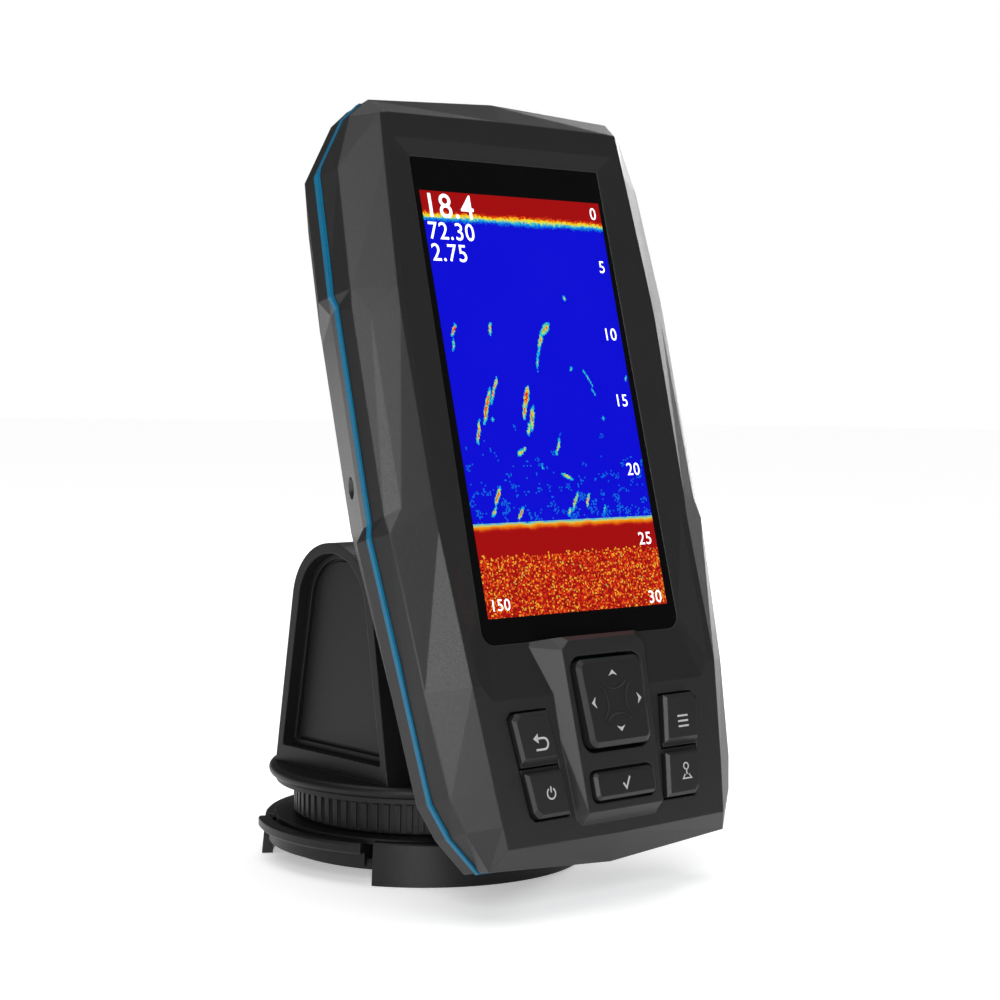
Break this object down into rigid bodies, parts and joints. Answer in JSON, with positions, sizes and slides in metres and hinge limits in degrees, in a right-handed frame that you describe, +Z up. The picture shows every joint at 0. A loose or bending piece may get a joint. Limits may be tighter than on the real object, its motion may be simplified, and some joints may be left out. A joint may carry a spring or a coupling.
{
  "type": "fish finder",
  "caption": "Portrait fish finder with a lit screen and keypad, on a tilting and swivelling quick-release base.",
  "frame": {"origin": "the swivel axis, on the flat surface that the base stands on", "axes": "+Z up along the swivel axis, -Y the side that the screen faces, +X along the tilt axis"},
  "size_m": [0.0984, 0.1085, 0.1755],
  "materials": {
    "housing": "fine matte texture",
    "band": "satin teal blue",
    "window": "polished clear window over a black border",
    "rubber": "matte",
    "display": "polished",
    "frame_metal": "bead blasted",
    "flex": "amber film",
    "board": "solder mask",
    "keycap": "fine matte texture",
    "mount_plastic": "fine matte texture",
    "steel": "machined",
    "brass": "plated",
    "ceramic": "ceramic",
    "nylon": "natural nylon"
  },
  "bodies": {
    "base": {"base_plate": "mount_plastic", "base_cover": "mount_plastic", "cover_screws": "steel", "swivel_washer": "steel", "swivel_screws": "steel", "left_tab_spring": "steel", "right_tab_spring": "steel"},
    "bracket": {"tilt_bracket": "mount_plastic", "left_side_cover": "mount_plastic", "right_side_cover": "mount_plastic", "tilt_bolt": "steel", "tilt_nut": "steel", "tilt_washers": "nylon", "wave_spring": "steel"},
    "head": {"front_housing": "housing", "gasket_band": "band", "rear_housing": "housing", "lens": "window", "screen_gasket": "rubber", "lcd_panel": "display", "lcd_frame": "frame_metal", "screen_pads": "rubber", "display_flex": "flex", "keypad_mat": "rubber", "keypad_board": "board", "keypad_screws": "steel", "dome_switches": "steel", "main_board": "board", "shield_can": "frame_metal", "gps_antenna": "ceramic", "beeper": "mount_plastic", "board_connector": "mount_plastic", "board_screws": "steel", "housing_screws": "steel", "pressure_vent": "mount_plastic", "connector_socket": "mount_plastic", "connector_pins": "brass", "socket_seal": "rubber", "socket_nut": "steel", "mount_cradle": "mount_plastic", "cradle_screws": "steel"},
    "lock_ring": {"swivel_lock_ring": "mount_plastic"},
    "left_tab": {"left_release_tab": "mount_plastic"},
    "right_tab": {"right_release_tab": "mount_plastic"},
    "dpad_gimbal": {"dpad_pivot": "mount_plastic"},
    "dpad": {"dpad_cap": "keycap"},
    "check": {"check_key": "keycap"},
    "back": {"back_key": "keycap"},
    "power": {"power_key": "keycap"},
    "menu": {"menu_key": "keycap"},
    "mark": {"mark_key": "keycap"}
  },
  "joints": [
    {"name": "swivel", "type": "hinge", "parent": "base", "child": "bracket", "pos_m": [0, 0, 0.02], "axis": [0, 0, 1], "range_deg": [-60, 60]},
    {"name": "tilt", "type": "hinge", "parent": "bracket", "child": "head", "pos_m": [0, 0, 0.06], "axis": [-1, 0, 0], "range_deg": [-6, 45]},
    {"name": "ring_turn", "type": "hinge", "parent": "base", "child": "lock_ring", "pos_m": [0, 0, 0.014], "axis": [0, 0, 1], "range_deg": [0, 90]},
    {"name": "left_tab_press", "type": "slide", "parent": "base", "child": "left_tab", "axis": [1, 0, 0], "range_m": [0, 0.0015], "stiffness_N_per_m": 500, "springref_m": -0.0004, "deforming": ["left_tab_spring"]},
    {"name": "right_tab_press", "type": "slide", "parent": "base", "child": "right_tab", "axis": [-1, 0, 0], "range_m": [0, 0.0015], "stiffness_N_per_m": 500, "springref_m": -0.0004, "deforming": ["right_tab_spring"]},
    {"name": "dpad_up_down", "type": "hinge", "parent": "head", "child": "dpad_gimbal", "pos_m": [0, -0.05877, 0.04272], "axis": [1, 0, 0], "range_deg": [-3, 3], "stiffness_Nm_per_rad": 0.05},
    {"name": "dpad_left_right", "type": "hinge", "parent": "dpad_gimbal", "child": "dpad", "pos_m": [0, -0.05877, 0.04272], "axis": [0, 0.2588, 0.9659], "range_deg": [-3, 3], "stiffness_Nm_per_rad": 0.05},
    {"name": "check_press", "type": "slide", "parent": "head", "child": "check", "axis": [0, 0.9659, -0.2588], "range_m": [0, 0.0006], "stiffness_N_per_m": 600, "springref_m": -0.0002},
    {"name": "back_press", "type": "slide", "parent": "head", "child": "back", "axis": [0, 0.9659, -0.2588], "range_m": [0, 0.0006], "stiffness_N_per_m": 600, "springref_m": -0.0002},
    {"name": "power_press", "type": "slide", "parent": "head", "child": "power", "axis": [0, 0.9659, -0.2588], "range_m": [0, 0.0006], "stiffness_N_per_m": 600, "springref_m": -0.0002},
    {"name": "menu_press", "type": "slide", "parent": "head", "child": "menu", "axis": [0, 0.9659, -0.2588], "range_m": [0, 0.0006], "stiffness_N_per_m": 600, "springref_m": -0.0002},
    {"name": "mark_press", "type": "slide", "parent": "head", "child": "mark", "axis": [0, 0.9659, -0.2588], "range_m": [0, 0.0006], "stiffness_N_per_m": 600, "springref_m": -0.0002}
  ]
}
